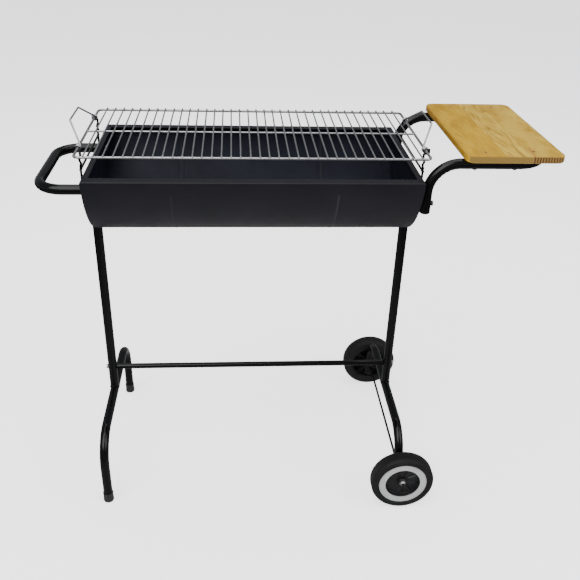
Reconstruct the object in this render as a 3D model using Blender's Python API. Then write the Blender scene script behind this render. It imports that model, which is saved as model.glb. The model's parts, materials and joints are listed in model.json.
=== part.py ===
"""Half-barrel charcoal barbecue on a two-wheeled tube trolley.

Metres, +Z up, +X along the trough towards the side shelf, -Y towards the cook.
The origin is on the floor, under the middle of the whole object's box.
Every part is modelled from the trough's centre and hangs on one empty that
shifts it to that origin.
"""
import math

import bmesh
import bpy
from mathutils import Matrix, Vector

GAP = 0.0003                # left between solids that touch

# Trough
TROUGH_HALF_LENGTH = 0.350
TROUGH_HALF_WIDTH = 0.193
TROUGH_DEPTH = 0.167
RIM_Z = 0.833
SHEET = 0.0015
LONG_FLANGE = 0.024
END_FLANGE = 0.013
ARC_STEPS = 28
STIFFENER_X = 0.172
STIFFENER_WIDTH = 0.012
STIFFENER_TOP_Z = 0.812

# Leg frame
TUBE_R = 0.011
TUBE_WALL = 0.0012
TUBE_SIDES = 12
FOOT_Z = 0.181
FOOT_HALF_SPAN = 0.222
FOOT_BEND_R = 0.073
FOOT_END_Z = 0.0033
AXLE_END_Z = 0.058
UPRIGHT_TOP_Z = 0.788
UPRIGHT_BOLT_Z = (0.702, 0.764)
STRETCHER_Z = 0.250
STRETCHER_R = 0.007
STRETCHER_BORE_R = 0.0034
CAP_R = 0.0128
CAP_HEIGHT = 0.027
CAP_FLOOR = 0.003
PLUG_HEAD = 0.002
PLUG_DEPTH = 0.010

# Push handle at the left end
HANDLE_Z = 0.7935
HANDLE_HALF_SPAN = 0.132
HANDLE_END_X = -0.4555
HANDLE_BEND_R = 0.056

# Shelf at the right end
BRACKET_HALF_SPAN = 0.165
BRACKET_FOOT_Z = 0.759
BRACKET_Z = 0.8667
BRACKET_FAR_X = 0.610
BRACKET_BEND_R = 0.064
BRACKET_BOLT_Z = 0.779
BOARD_X = (0.4280, 0.636)
BOARD_HALF_DEPTH = 0.195
BOARD_BOTTOM_Z = 0.878
BOARD_THICKNESS = 0.015
BOARD_CORNER_R = 0.020
BOARD_EDGE_R = 0.003
SCREW_X = (0.455, 0.540)

# Cooking grate
GRATE_HALF_LENGTH = 0.3622
GRATE_HALF_WIDTH = 0.1665
GRATE_Z = 0.8755
GRATE_CORNER_R = 0.011
FRAME_WIRE_R = 0.00275
MID_WIRE_R = 0.0022
CROSS_WIRE_R = 0.0017
CROSS_WIRES = 36
CROSS_WIRE_SPAN = 0.3415
CROSS_WIRE_OVERHANG = 0.002
WELD_DEPTH = 0.0006

# Grate handles, hinged on the grate's end wires
LIFT_WIRE_R = 0.002
LIFT_FOOT_Y = 0.105
LIFT_TOP_Y = 0.047
LIFT_HEIGHT = 0.0395
LIFT_LEAN = 0.0225
COIL_CLEARANCE = 0.0004
COIL_PITCH = 0.0043
COIL_TURNS = 1.5
COIL_STEPS = 10

# Wire racks that carry the grate
RACK_X = 0.360
RACK_POST_Y = 0.114
RACK_WIRE_R = 0.0025
RACK_BAR_Z = 0.831
RACK_NOTCH = 0.002
RACK_FOOT_TOP_Z = 0.806
RACK_FOOT_Z = 0.784
RACK_TAB_Z = (0.768, 0.790)
RACK_TAB_HALF_WIDTH = 0.0065
RACK_SCREW_Z = 0.776
HOOK_REACH = 0.0085
HOOK_HEIGHT = 0.009

# Axle and wheels
AXLE_X = 0.3665
AXLE_Z = 0.0775
AXLE_R = 0.003
AXLE_HALF_LENGTH = 0.2775
WHEEL_R = 0.0775
WHEEL_INNER_Y = 0.2365
WHEEL_OUTER_Y = 0.2745
TYRE_BULGE = 0.0035
TYRE_SHOULDER = 0.012
TYRE_SEAT_R = 0.052
RING_OUTER_R = 0.0592
RING_INNER_R = 0.0432
RING_THICKNESS = 0.0015
BORE_R = 0.00308
WHEEL_SEGMENTS = 24

# Fasteners
BOLT_R = 0.003
BOLT_HOLE_R = 0.0034
BOLT_HEAD_R = 0.006
BOLT_HEAD = 0.004
NUT_R = 0.006
NUT = 0.005

ARC_R = (TROUGH_HALF_WIDTH ** 2 + TROUGH_DEPTH ** 2) / (2 * TROUGH_DEPTH)
ARC_Z = RIM_Z - TROUGH_DEPTH + ARC_R
TUBE_X = TROUGH_HALF_LENGTH + TUBE_R + GAP
PLUG_R = (TUBE_R - TUBE_WALL) * math.cos(math.pi / TUBE_SIDES) - GAP
ORIGIN_SHIFT = -(BOARD_X[1] + HANDLE_END_X - TUBE_R) / 2

SIDES = (("left", -1), ("right", 1))
ENDS = (("front", -1), ("back", 1))


# ---------------------------------------------------------------- helpers

def clear_scene():
    for obj in list(bpy.data.objects):
        bpy.data.objects.remove(obj, do_unlink=True)


def material(name, colour, roughness, metallic=0.0):
    mat = bpy.data.materials.get(name)
    if mat:
        return mat
    mat = bpy.data.materials.new(name)
    mat.use_nodes = True
    shader = mat.node_tree.nodes["Principled BSDF"]
    shader.inputs["Base Color"].default_value = (*colour, 1.0)
    shader.inputs["Roughness"].default_value = roughness
    shader.inputs["Metallic"].default_value = metallic
    return mat


def satin_black():
    return material("satin_black_paint", (0.030, 0.030, 0.034), 0.45)


def gloss_black():
    return material("gloss_black_paint", (0.012, 0.012, 0.014), 0.22)


def black_plastic():
    return material("black_plastic", (0.020, 0.020, 0.021), 0.50)


def chrome():
    return material("chrome_wire", (0.55, 0.55, 0.55), 0.22, 1.0)


def zinc():
    return material("zinc_plate", (0.62, 0.62, 0.60), 0.35, 1.0)


def add_part(name, bm, mat, parent, location=(0, 0, 0), rotation=(0, 0, 0)):
    """Turn a bmesh into a smooth-shaded object hanging on its parent."""
    bmesh.ops.recalc_face_normals(bm, faces=bm.faces)
    mesh = bpy.data.meshes.new(name)
    bm.to_mesh(mesh)
    bm.free()
    mesh.materials.append(mat)
    return place(name, mesh, parent, location, rotation)


def place(name, mesh, parent, location=(0, 0, 0), rotation=(0, 0, 0)):
    mesh.shade_smooth()
    mesh.set_sharp_from_angle(angle=math.radians(35))
    obj = bpy.data.objects.new(name, mesh)
    bpy.context.collection.objects.link(obj)
    obj.location = location
    obj.rotation_euler = rotation
    obj.parent = parent
    return obj


def add_pivot(name, parent, location=(0, 0, 0)):
    pivot = bpy.data.objects.new(name, None)
    bpy.context.collection.objects.link(pivot)
    pivot.location = location
    pivot.parent = parent
    return pivot


def combine(obj, others, operation):
    """Apply Boolean modifiers of the given operation and drop the operands."""
    for other in others:
        modifier = obj.modifiers.new(operation.lower(), "BOOLEAN")
        modifier.operation = operation
        modifier.solver = "EXACT"
        modifier.object = other
    depsgraph = bpy.context.evaluated_depsgraph_get()
    mesh = bpy.data.meshes.new_from_object(obj.evaluated_get(depsgraph))
    obj.modifiers.clear()
    obj.data = mesh
    for other in others:
        bpy.data.objects.remove(other, do_unlink=True)
    mesh.shade_smooth()
    mesh.set_sharp_from_angle(angle=math.radians(35))
    return obj


def union(obj, others):
    return combine(obj, others, "UNION")


def drill(obj, holes):
    """Cut round holes; each hole is (start, end, radius)."""
    cutters = []
    for start, end, radius in holes:
        bm = sweep([Vector(start), Vector(end)], radius, 12)
        cutters.append(add_part("cutter", bm, zinc(), obj.parent))
    return combine(obj, cutters, "DIFFERENCE")


def prism(outline, axis, low, high):
    """Extrude a closed outline along X, Y or Z; the outline gives the other two."""
    order = {"X": (1, 2, 0), "Y": (0, 2, 1), "Z": (0, 1, 2)}[axis]
    bm = bmesh.new()
    vertices = []
    for a, b in outline:
        point = [0.0, 0.0, 0.0]
        point[order[0]] = a
        point[order[1]] = b
        point[order[2]] = low
        vertices.append(bm.verts.new(point))
    face = bm.faces.new(vertices)
    grown = bmesh.ops.extrude_face_region(bm, geom=[face])
    step = Vector((0, 0, 0))
    step[order[2]] = high - low
    moved = [item for item in grown["geom"] if isinstance(item, bmesh.types.BMVert)]
    bmesh.ops.translate(bm, verts=moved, vec=step)
    return bm


def box(low, high):
    corners = [(low[0], low[1]), (high[0], low[1]), (high[0], high[1]), (low[0], high[1])]
    return prism(corners, "Z", low[2], high[2])


def turned(profile, segments, ring=False):
    """Turn (radius, height) points about Z; a ring's profile is a closed loop."""
    bm = bmesh.new()
    rows = []
    for radius, height in profile:
        if radius == 0:
            rows.append([bm.verts.new((0, 0, height))])
            continue
        row = []
        for index in range(segments):
            angle = 2 * math.pi * index / segments
            row.append(bm.verts.new((radius * math.cos(angle), radius * math.sin(angle), height)))
        rows.append(row)
    pairs = list(zip(rows, rows[1:]))
    if ring:
        pairs.append((rows[-1], rows[0]))
    for below, above in pairs:
        for index in range(segments):
            following = (index + 1) % segments
            corners = [below[index % len(below)], below[following % len(below)],
                       above[following % len(above)], above[index % len(above)]]
            unique = list(dict.fromkeys(corners))
            bm.faces.new(unique)
    return bm


def stacked(sections, segments=6):
    """A closed turned body made of (radius, length) cylinders along Z."""
    profile = [(0, 0.0)]
    height = 0.0
    for radius, length in sections:
        profile.append((radius, height))
        height += length
        profile.append((radius, height))
    profile.append((0, height))
    return turned(profile, segments)


def rounded(points, radius, steps=5, closed=False):
    """Replace a path's inner corners with arcs of the given radius."""
    points = [Vector(point) for point in points]
    path = []
    count = len(points)
    for index, corner in enumerate(points):
        if not closed and index in (0, count - 1):
            path.append(corner)
            continue
        before = (points[index - 1] - corner).normalized()
        after = (points[(index + 1) % count] - corner).normalized()
        half = before.angle(after) / 2
        bisector = (before + after).normalized()
        centre = corner + bisector * (radius / math.sin(half))
        start = corner + before * (radius / math.tan(half)) - centre
        axis = before.cross(after)
        sweep_angle = math.pi - 2 * half
        for step in range(steps + 1):
            turn = Matrix.Rotation(-sweep_angle * step / steps, 3, axis)
            path.append(centre + turn @ start)
    return path


def sweep(path, radius, sides, bore=0.0, closed=False):
    """A round bar along a path, or a tube when bore is the inside radius."""
    bm = bmesh.new()
    count = len(path)
    tangents = []
    for index in range(count):
        if closed:
            tangent = path[(index + 1) % count] - path[index - 1]
        else:
            tangent = path[min(index + 1, count - 1)] - path[max(index - 1, 0)]
        tangents.append(tangent.normalized())
    side = tangents[0].orthogonal().normalized()
    if abs(tangents[0].x) < 0.9 and abs(tangents[0].z) < 0.9:
        side = Vector((1, 0, 0))
    rows = {radius: [], bore: []}
    for index, tangent in enumerate(tangents):
        side = (side - tangent * side.dot(tangent)).normalized()
        other = tangent.cross(side)
        for size in rows:
            if size == 0:
                continue
            row = []
            for step in range(sides):
                angle = 2 * math.pi * (step + 0.5) / sides
                offset = side * math.cos(angle) + other * math.sin(angle)
                row.append(bm.verts.new(path[index] + offset * size))
            rows[size].append(row)

    def bridge(one, two):
        for step in range(sides):
            following = (step + 1) % sides
            bm.faces.new((one[step], one[following], two[following], two[step]))

    for size, loops in rows.items():
        for index in range(len(loops) - 1):
            bridge(loops[index], loops[index + 1])
        if closed and loops:
            bridge(loops[-1], loops[0])
    if not closed:
        for end in (0, -1):
            if bore:
                bridge(rows[radius][end], rows[bore][end])
            else:
                bm.faces.new(rows[radius][end])
    return bm


def arc_outline(radius, top_z, steps=ARC_STEPS):
    """Points of the trough's arc from its front edge down and up to its back edge."""
    half_angle = math.acos((ARC_Z - top_z) / radius)
    points = []
    for step in range(steps + 1):
        angle = -half_angle + 2 * half_angle * step / steps
        points.append((radius * math.sin(angle), ARC_Z - radius * math.cos(angle)))
    return points


# ---------------------------------------------------------------- trough

def build_trough(root):
    """Rolled sheet with inward flanges, two end plates and two inner stiffeners."""
    outer = arc_outline(ARC_R, RIM_Z)
    inner = arc_outline(ARC_R - SHEET, RIM_Z - SHEET)
    lip_y = TROUGH_HALF_WIDTH - LONG_FLANGE
    outline = outer
    outline += [(lip_y, RIM_Z), (lip_y, RIM_Z - SHEET)]
    outline += inner[::-1]
    outline += [(-lip_y, RIM_Z - SHEET), (-lip_y, RIM_Z)]
    shell_x = TROUGH_HALF_LENGTH - SHEET - GAP
    add_part("trough_shell", prism(outline, "X", -shell_x, shell_x), satin_black(), root)

    for name, sign in SIDES:
        faces = sorted((sign * TROUGH_HALF_LENGTH, sign * (TROUGH_HALF_LENGTH - SHEET)))
        plate = add_part("end_plate_" + name, prism(arc_outline(ARC_R, RIM_Z), "X", *faces),
                         satin_black(), root)
        flange_x = sorted((sign * (TROUGH_HALF_LENGTH - SHEET / 2),
                           sign * (TROUGH_HALF_LENGTH - END_FLANGE)))
        flange_y = lip_y - GAP
        flange = add_part("flange", box((flange_x[0], -flange_y, RIM_Z - SHEET),
                                        (flange_x[1], flange_y, RIM_Z)), satin_black(), root)
        union(plate, [flange])
        spots = [(0.0, z) for z in UPRIGHT_BOLT_Z]
        spots += [(end * RACK_POST_Y, RACK_SCREW_Z) for end in (-1, 1)]
        if name == "left":
            spots += [(end * HANDLE_HALF_SPAN, HANDLE_Z) for end in (-1, 1)]
        else:
            spots += [(end * BRACKET_HALF_SPAN, BRACKET_BOLT_Z) for end in (-1, 1)]
        holes = []
        for y, z in spots:
            holes.append(((sign * 0.340, y, z), (sign * 0.360, y, z), BOLT_HOLE_R))
        drill(plate, holes)

        band_outer = arc_outline(ARC_R - SHEET - GAP, STIFFENER_TOP_Z, 20)
        band_inner = arc_outline(ARC_R - 2 * SHEET - GAP, STIFFENER_TOP_Z, 20)
        centre = sign * STIFFENER_X
        band = prism(band_outer + band_inner[::-1], "X",
                     centre - STIFFENER_WIDTH / 2, centre + STIFFENER_WIDTH / 2)
        add_part("stiffener_" + name, band, satin_black(), root)


# ---------------------------------------------------------------- leg frame

def through_bolt(name, sign, y, z, root):
    """A bolt through a vertical tube and an end plate, with its nut in the trough."""
    head_x = TUBE_X + TUBE_R + GAP
    nut_x = TROUGH_HALF_LENGTH - SHEET - GAP
    sections = [(BOLT_HEAD_R, BOLT_HEAD), (BOLT_R, head_x - nut_x), (NUT_R, NUT)]
    add_part(name, stacked(sections), zinc(), root,
             location=(sign * (head_x + BOLT_HEAD), y, z),
             rotation=(0, -sign * math.pi / 2, 0))


def build_uprights(root):
    for name, sign in SIDES:
        x = sign * TUBE_X
        path = [Vector((x, 0, FOOT_Z)), Vector((x, 0, UPRIGHT_TOP_Z))]
        tube = add_part("upright_" + name,
                        sweep(path, TUBE_R, TUBE_SIDES, TUBE_R - TUBE_WALL), gloss_black(), root)
        reach = TUBE_R + 0.004
        saddle = sweep([Vector((x, -0.03, FOOT_Z)), Vector((x, 0.03, FOOT_Z))],
                       TUBE_R + GAP, 24)
        combine(tube, [add_part("saddle", saddle, gloss_black(), root)], "DIFFERENCE")
        holes = []
        for z in UPRIGHT_BOLT_Z + (STRETCHER_Z,):
            holes.append(((x - reach, 0, z), (x + reach, 0, z), BOLT_HOLE_R))
        drill(tube, holes)

        plug = stacked([(PLUG_R, PLUG_DEPTH), (TUBE_R, PLUG_HEAD)], TUBE_SIDES)
        add_part("upright_plug_" + name, plug, black_plastic(), root,
                 location=(x, 0, UPRIGHT_TOP_Z + GAP - PLUG_DEPTH))
        for level, z in zip(("lower", "upper"), UPRIGHT_BOLT_Z):
            through_bolt("upright_bolt_%s_%s" % (name, level), sign, 0.0, z, root)


def cap_mesh():
    """A plastic cup that closes the lower end of a foot tube."""
    inner = TUBE_R + GAP
    profile = [(0, 0.0), (CAP_R - 0.0015, 0.0), (CAP_R, 0.0015), (CAP_R, CAP_HEIGHT),
               (inner, CAP_HEIGHT), (inner, CAP_FLOOR), (0, CAP_FLOOR)]
    return turned(profile, 16)


def build_feet(root):
    """Staple-shaped foot tubes; the right one carries the axle."""
    for name, sign in SIDES:
        end_z = FOOT_END_Z if name == "left" else AXLE_END_Z
        x = sign * TUBE_X
        corners = [(x, -FOOT_HALF_SPAN, end_z), (x, -FOOT_HALF_SPAN, FOOT_Z),
                   (x, FOOT_HALF_SPAN, FOOT_Z), (x, FOOT_HALF_SPAN, end_z)]
        tube = add_part("foot_tube_" + name,
                        sweep(rounded(corners, FOOT_BEND_R), TUBE_R, TUBE_SIDES,
                              TUBE_R - TUBE_WALL), gloss_black(), root)
        for end, direction in ENDS:
            y = direction * FOOT_HALF_SPAN
            if name == "left":
                add_part("foot_cap_" + end, cap_mesh(), black_plastic(), root,
                         location=(x, y, 0))
            else:
                plug = stacked([(TUBE_R, PLUG_HEAD), (PLUG_R, 0.008)], TUBE_SIDES)
                add_part("axle_plug_" + end, plug, black_plastic(), root,
                         location=(x, y, AXLE_END_Z - GAP - PLUG_HEAD))
        if name == "right":
            reach = TUBE_R + 0.004
            holes = []
            for end, direction in ENDS:
                y = direction * FOOT_HALF_SPAN
                holes.append(((AXLE_X, y - reach, AXLE_Z), (AXLE_X, y + reach, AXLE_Z),
                              BOLT_HOLE_R))
            drill(tube, holes)


def build_stretcher(root):
    end_x = TUBE_X - TUBE_R - GAP
    path = [Vector((-end_x, 0, STRETCHER_Z)), Vector((end_x, 0, STRETCHER_Z))]
    add_part("stretcher", sweep(path, STRETCHER_R, 12, STRETCHER_BORE_R), gloss_black(), root)
    head_x = TUBE_X + TUBE_R + GAP
    for name, sign in SIDES:
        sections = [(BOLT_HEAD_R, BOLT_HEAD), (BOLT_R, 0.045)]
        add_part("stretcher_bolt_" + name, stacked(sections), zinc(), root,
                 location=(sign * (head_x + BOLT_HEAD), 0, STRETCHER_Z),
                 rotation=(0, -sign * math.pi / 2, 0))


# ---------------------------------------------------------------- push handle and shelf

def build_push_handle(root):
    """A bent tube whose two ends are bolted from inside to the left end plate."""
    plate_x = -(TROUGH_HALF_LENGTH + GAP)
    y = HANDLE_HALF_SPAN
    corners = [(plate_x, -y, HANDLE_Z), (HANDLE_END_X, -y, HANDLE_Z),
               (HANDLE_END_X, y, HANDLE_Z), (plate_x, y, HANDLE_Z)]
    add_part("push_handle", sweep(rounded(corners, HANDLE_BEND_R), TUBE_R, TUBE_SIDES,
                                  TUBE_R - TUBE_WALL), gloss_black(), root)
    head = 0.003
    head_x = -(TROUGH_HALF_LENGTH - SHEET - GAP - head)
    for end, direction in ENDS:
        sections = [(0.007, head), (BOLT_R, SHEET + 3 * GAP + 0.001), (PLUG_R, 0.014)]
        add_part("handle_bolt_" + end, stacked(sections, 12), zinc(), root,
                 location=(head_x, direction * y, HANDLE_Z),
                 rotation=(0, -math.pi / 2, 0))


def board_outline():
    """The shelf's rectangle with round corners."""
    low, high = BOARD_X
    d = BOARD_HALF_DEPTH
    corners = [(low, -d, 0), (high, -d, 0), (high, d, 0), (low, d, 0)]
    return [(p.x, p.y) for p in rounded(corners, BOARD_CORNER_R, 5, closed=True)]


def build_shelf(root):
    """A bent tube bolted to the right end plate, and the board screwed on it."""
    y = BRACKET_HALF_SPAN
    corners = [(TUBE_X, -y, BRACKET_FOOT_Z), (TUBE_X, -y, BRACKET_Z),
               (BRACKET_FAR_X, -y, BRACKET_Z), (BRACKET_FAR_X, y, BRACKET_Z),
               (TUBE_X, y, BRACKET_Z), (TUBE_X, y, BRACKET_FOOT_Z)]
    bracket = add_part("shelf_bracket",
                       sweep(rounded(corners, BRACKET_BEND_R), TUBE_R, TUBE_SIDES,
                             TUBE_R - TUBE_WALL), gloss_black(), root)
    bm = prism(board_outline(), "Z", BOARD_BOTTOM_Z, BOARD_BOTTOM_Z + BOARD_THICKNESS)
    rims = []
    for edge in bm.edges:
        if abs(edge.verts[0].co.z - edge.verts[1].co.z) < 1e-6:
            rims.append(edge)
    bmesh.ops.bevel(bm, geom=rims, offset=BOARD_EDGE_R, segments=2, profile=0.5,
                    affect="EDGES")
    pine = material("pine", (0.56, 0.36, 0.13), 0.5)
    board = add_part("shelf_board", bm, pine, root)

    holes = []
    sockets = []
    reach = TUBE_R + 0.004
    for end, direction in ENDS:
        foot_y = direction * y
        holes.append(((TUBE_X - reach, foot_y, BRACKET_BOLT_Z),
                      (TUBE_X + reach, foot_y, BRACKET_BOLT_Z), BOLT_HOLE_R))
        through_bolt("bracket_bolt_" + end, 1, foot_y, BRACKET_BOLT_Z, root)
        plug = stacked([(TUBE_R, PLUG_HEAD), (PLUG_R, PLUG_DEPTH)], TUBE_SIDES)
        add_part("bracket_plug_" + end, plug, black_plastic(), root,
                 location=(TUBE_X, foot_y, BRACKET_FOOT_Z - GAP - PLUG_HEAD))
        for place_name, x in zip(("inner", "outer"), SCREW_X):
            holes.append(((x, foot_y, BRACKET_Z - reach), (x, foot_y, BRACKET_Z + reach), 0.0025))
            sockets.append(((x, foot_y, BOARD_BOTTOM_Z - 0.005),
                            (x, foot_y, BOARD_BOTTOM_Z + 0.0105), 0.0025))
            head_z = BRACKET_Z - TUBE_R - GAP - 0.003
            sections = [(0.0045, 0.003), (0.002, BOARD_BOTTOM_Z + 0.010 - head_z - 0.003)]
            add_part("shelf_screw_%s_%s" % (end, place_name), stacked(sections, 8), zinc(),
                     root, location=(x, foot_y, head_z))
    drill(bracket, holes)
    drill(board, sockets)


# ---------------------------------------------------------------- racks

def rack_post(sign, y):
    """Points of one post, from its foot on the end plate up to the hook."""
    foot_x = TROUGH_HALF_LENGTH + GAP + RACK_WIRE_R
    hook_z = GRATE_Z - FRAME_WIRE_R - RACK_WIRE_R - GAP
    profile = [(foot_x, RACK_FOOT_Z), (foot_x, RACK_FOOT_Z + 0.012),
               (RACK_X, RACK_FOOT_TOP_Z), (RACK_X, RACK_BAR_Z + 0.007),
               (RACK_X - RACK_NOTCH, RACK_BAR_Z + 0.0135),
               (RACK_X + RACK_NOTCH / 2, RACK_BAR_Z + 0.021),
               (RACK_X - RACK_NOTCH, RACK_BAR_Z + 0.0285),
               (RACK_X - RACK_NOTCH, hook_z),
               (RACK_X + HOOK_REACH, hook_z),
               (RACK_X + HOOK_REACH, hook_z + HOOK_HEIGHT)]
    return rounded([(sign * x, y, z) for x, z in profile], 0.0028, 2)


def build_racks(root):
    """One bent-wire rack at each end: two notched posts, a bar and two tabs."""
    for name, sign in SIDES:
        x = sign * RACK_X
        bar = sweep([Vector((x, -RACK_POST_Y, RACK_BAR_Z)), Vector((x, RACK_POST_Y, RACK_BAR_Z))],
                    RACK_WIRE_R * 0.98, 6)
        rack = add_part("height_rack_" + name, bar, gloss_black(), root)
        pieces = []
        tab_x = sorted((sign * (TROUGH_HALF_LENGTH + GAP), sign * (TROUGH_HALF_LENGTH + 0.0025)))
        for end, direction in ENDS:
            y = direction * RACK_POST_Y
            pieces.append(add_part("post", sweep(rack_post(sign, y), RACK_WIRE_R, 6),
                                   gloss_black(), root))
            tab = box((tab_x[0], y - RACK_TAB_HALF_WIDTH, RACK_TAB_Z[0]),
                      (tab_x[1], y + RACK_TAB_HALF_WIDTH, RACK_TAB_Z[1]))
            pieces.append(add_part("tab", tab, gloss_black(), root))
            head_x = TROUGH_HALF_LENGTH + 0.0025 + GAP
            nut_x = TROUGH_HALF_LENGTH - SHEET - GAP
            sections = [(0.005, 0.0025), (BOLT_R, head_x - nut_x), (0.0055, 0.004)]
            add_part("rack_screw_%s_%s" % (name, end), stacked(sections), zinc(), root,
                     location=(sign * (head_x + 0.0025), y, RACK_SCREW_Z),
                     rotation=(0, -sign * math.pi / 2, 0))
        union(rack, pieces)
        holes = []
        for end, direction in ENDS:
            y = direction * RACK_POST_Y
            holes.append(((sign * 0.345, y, RACK_SCREW_Z), (sign * 0.356, y, RACK_SCREW_Z),
                          BOLT_HOLE_R))
        drill(rack, holes)


# ---------------------------------------------------------------- grate

def build_grate(root):
    """A wire frame, one wire along its middle and the cross wires welded on top."""
    x = GRATE_HALF_LENGTH
    y = GRATE_HALF_WIDTH
    corners = [(-x, -y, 0), (x, -y, 0), (x, y, 0), (-x, y, 0)]
    loop = rounded(corners, GRATE_CORNER_R, 4, closed=True)
    grate = add_part("cooking_grate", sweep(loop, FRAME_WIRE_R, 8, closed=True), chrome(), root,
                     location=(0, 0, GRATE_Z))
    mid_z = FRAME_WIRE_R - MID_WIRE_R
    mid = sweep([Vector((-x, 0, mid_z)), Vector((x, 0, mid_z))], MID_WIRE_R, 8)
    cross = bmesh.new()
    cross_z = FRAME_WIRE_R + CROSS_WIRE_R - WELD_DEPTH
    reach = y + CROSS_WIRE_OVERHANG
    spacing = 2 * CROSS_WIRE_SPAN / (CROSS_WIRES - 1)
    turn = Matrix.Rotation(math.pi / 2, 3, "X")
    for index in range(CROSS_WIRES):
        wire_x = -CROSS_WIRE_SPAN + index * spacing
        bmesh.ops.create_cone(cross, segments=6, radius1=CROSS_WIRE_R, radius2=CROSS_WIRE_R,
                              depth=2 * reach, cap_ends=True,
                              matrix=Matrix.Translation((wire_x, 0, cross_z)) @ turn.to_4x4())
    at = (0, 0, GRATE_Z)
    union(grate, [add_part("mid_wire", mid, chrome(), root, location=at)])
    union(grate, [add_part("cross_wires", cross, chrome(), root, location=at)])
    return grate


def lift_handle_path(sign):
    """Coil round the end wire, arm, top bar, arm and coil, from front to back."""
    coil_r = FRAME_WIRE_R + COIL_CLEARANCE + LIFT_WIRE_R
    top_distance = math.hypot(LIFT_LEAN, LIFT_HEIGHT)
    lean = math.atan2(LIFT_LEAN, LIFT_HEIGHT) + math.asin(coil_r / top_distance)
    coil_y = -LIFT_FOOT_Y + COIL_PITCH
    count = int(COIL_STEPS * COIL_TURNS)
    path = []
    for step in range(count + 1):
        angle = lean - 2 * math.pi * (count - step) / COIL_STEPS
        y = coil_y - COIL_PITCH * (count - step) / COIL_STEPS
        path.append(Vector((-sign * coil_r * math.cos(angle), y, coil_r * math.sin(angle))))
    corner = Vector((sign * LIFT_LEAN, -LIFT_TOP_Y, LIFT_HEIGHT))
    middle = Vector((sign * LIFT_LEAN, 0, LIFT_HEIGHT))
    path += rounded([path[-1], corner, middle], 0.006, 3)[1:-1]
    return path + [Vector((p.x, -p.y, p.z)) for p in reversed(path)]


def build_lift_handles(grate, root):
    for name, sign in SIDES:
        add_part("grate_handle_" + name, sweep(lift_handle_path(sign), LIFT_WIRE_R, 6),
                 chrome(), root, location=(sign * GRATE_HALF_LENGTH, 0, GRATE_Z))


# ---------------------------------------------------------------- axle and wheels

def build_axle(root):
    path = [Vector((AXLE_X, -AXLE_HALF_LENGTH, AXLE_Z)), Vector((AXLE_X, AXLE_HALF_LENGTH, AXLE_Z))]
    steel = material("black_steel", (0.03, 0.03, 0.03), 0.35, 0.6)
    add_part("axle", sweep(path, AXLE_R, 12), steel, root)
    hole = AXLE_R + GAP

    def collar(radius, near, far):
        profile = [(hole, near), (radius, near), (radius, far), (hole, far)]
        return turned(profile, 12, ring=True)

    boss_outer = WHEEL_OUTER_Y - 0.0045
    boss_inner = WHEEL_INNER_Y + 0.001
    pieces = (("wheel_spacer_", 0.007, FOOT_HALF_SPAN + TUBE_R + GAP, boss_inner - GAP,
               black_plastic()),
              ("wheel_washer_", 0.0078, boss_outer + GAP, boss_outer + 0.0013, zinc()),
              ("axle_nut_", 0.0055, boss_outer + 0.0016, boss_outer + 0.0056, zinc()))
    for end, direction in ENDS:
        for name, radius, near, far, mat in pieces:
            add_part(name + end, collar(radius, near, far), mat, root,
                     location=(AXLE_X, 0, AXLE_Z), rotation=(-direction * math.pi / 2, 0, 0))


def wheel_meshes():
    """The wheel's three pieces about Z, with the outer face towards +Z."""
    inner = WHEEL_INNER_Y
    outer = WHEEL_OUTER_Y
    face = outer - RING_THICKNESS - GAP
    web = outer - 0.012
    hub = [(BORE_R, inner + 0.001), (0.011, inner + 0.001), (0.012, web - 0.003),
           (TYRE_SEAT_R - 0.003, web - 0.003), (TYRE_SEAT_R - 0.002, inner + 0.002),
           (TYRE_SEAT_R, inner + 0.002), (TYRE_SEAT_R, face - 0.002),
           (RING_OUTER_R, face - 0.002), (RING_OUTER_R, face),
           (RING_INNER_R, face), (RING_INNER_R - 0.002, web),
           (0.012, web), (0.010, outer - 0.0045), (BORE_R, outer - 0.0045)]
    tyre = [(TYRE_SEAT_R + GAP, inner + 0.003), (TYRE_SEAT_R + 0.004, inner)]
    tread_r = WHEEL_R - TYRE_SHOULDER
    for centre_z, start in ((inner + TYRE_SHOULDER, -90),
                            (outer + TYRE_BULGE - TYRE_SHOULDER, 0)):
        for step in range(4):
            angle = math.radians(start + 30 * step)
            tyre.append((tread_r + TYRE_SHOULDER * math.cos(angle),
                         centre_z + TYRE_SHOULDER * math.sin(angle)))
    tyre += [(RING_OUTER_R + GAP, outer - 0.0005), (RING_OUTER_R + GAP, face - 0.002 - GAP),
             (TYRE_SEAT_R + GAP, face - 0.002 - GAP)]
    ring = [(RING_INNER_R, face + GAP), (RING_OUTER_R, face + GAP),
            (RING_OUTER_R, outer), (RING_INNER_R, outer)]
    rubber = material("black_rubber", (0.022, 0.022, 0.022), 0.6)
    silver = material("silver_plastic", (0.45, 0.45, 0.46), 0.4)
    return (("wheel_hub_", hub, black_plastic()), ("tyre_", tyre, rubber),
            ("trim_ring_", ring, silver))


def build_wheels(root):
    pivots = []
    for end, direction in ENDS:
        pivots.append((end, direction, add_pivot("wheel_pivot_" + end, root,
                                                 (AXLE_X, 0, AXLE_Z))))
    for name, profile, mat in wheel_meshes():
        mesh = None
        for end, direction, pivot in pivots:
            turn = (-direction * math.pi / 2, 0, 0)
            if mesh is None:
                bm = turned(profile, WHEEL_SEGMENTS, ring=True)
                mesh = add_part(name + end, bm, mat, pivot, rotation=turn).data
            else:
                place(name + end, mesh, pivot, rotation=turn)


def main():
    clear_scene()
    root = add_pivot("cart", None, (ORIGIN_SHIFT, 0, 0))
    bpy.context.view_layer.update()
    build_trough(root)
    build_uprights(root)
    build_feet(root)
    build_stretcher(root)
    build_push_handle(root)
    build_shelf(root)
    build_racks(root)
    grate = build_grate(root)
    build_lift_handles(grate, root)
    build_axle(root)
    build_wheels(root)


main()
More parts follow.
